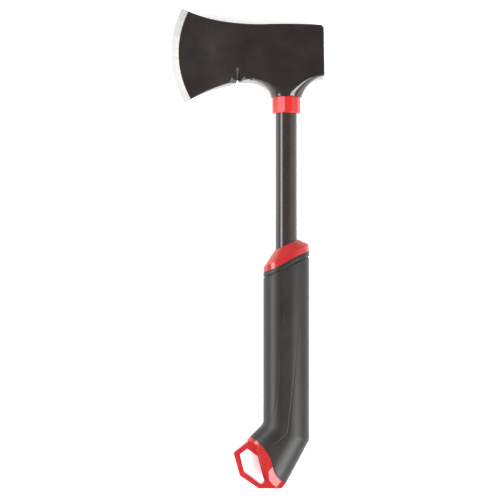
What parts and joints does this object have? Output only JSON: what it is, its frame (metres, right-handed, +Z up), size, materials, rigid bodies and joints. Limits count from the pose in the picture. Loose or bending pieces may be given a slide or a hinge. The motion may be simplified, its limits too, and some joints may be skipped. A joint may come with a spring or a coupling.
{
  "type": "camp axe",
  "caption": "One-hand camp axe: forged head with curved bit and nail notch, tubular steel shaft, slanted two-shot grip with bent butt and hanging loop.",
  "frame": {"origin": "centre of the bounding box's footprint, on the surface that the axe lies flat on", "axes": "+Y along the shaft from butt to head, +X from the cutting edge towards the poll, +Z up out of the cheek, across the thickness"},
  "size_m": [0.1136, 0.3572, 0.025],
  "materials": {
    "head_enamel": "satin black enamel on forged steel, with the bit ground bright",
    "tube_enamel": "gloss black enamel on drawn steel tube",
    "bare_steel": "turned, bare",
    "epoxy": "cured, dark",
    "ring_red": "gloss red, moulded",
    "core_red": "gloss red, moulded",
    "grip_rubber": "soft black thermoplastic rubber, fine matt texture",
    "plug_plastic": "moulded, matt"
  },
  "bodies": {
    "root": {"axe_head": "head_enamel", "shaft_tube": "tube_enamel", "tube_expander_plug": "bare_steel", "eye_bond": "epoxy", "neck_ring": "ring_red", "grip_core": "core_red", "grip_sleeve": "grip_rubber", "tube_end_plug": "plug_plastic"}
  },
  "joints": []
}
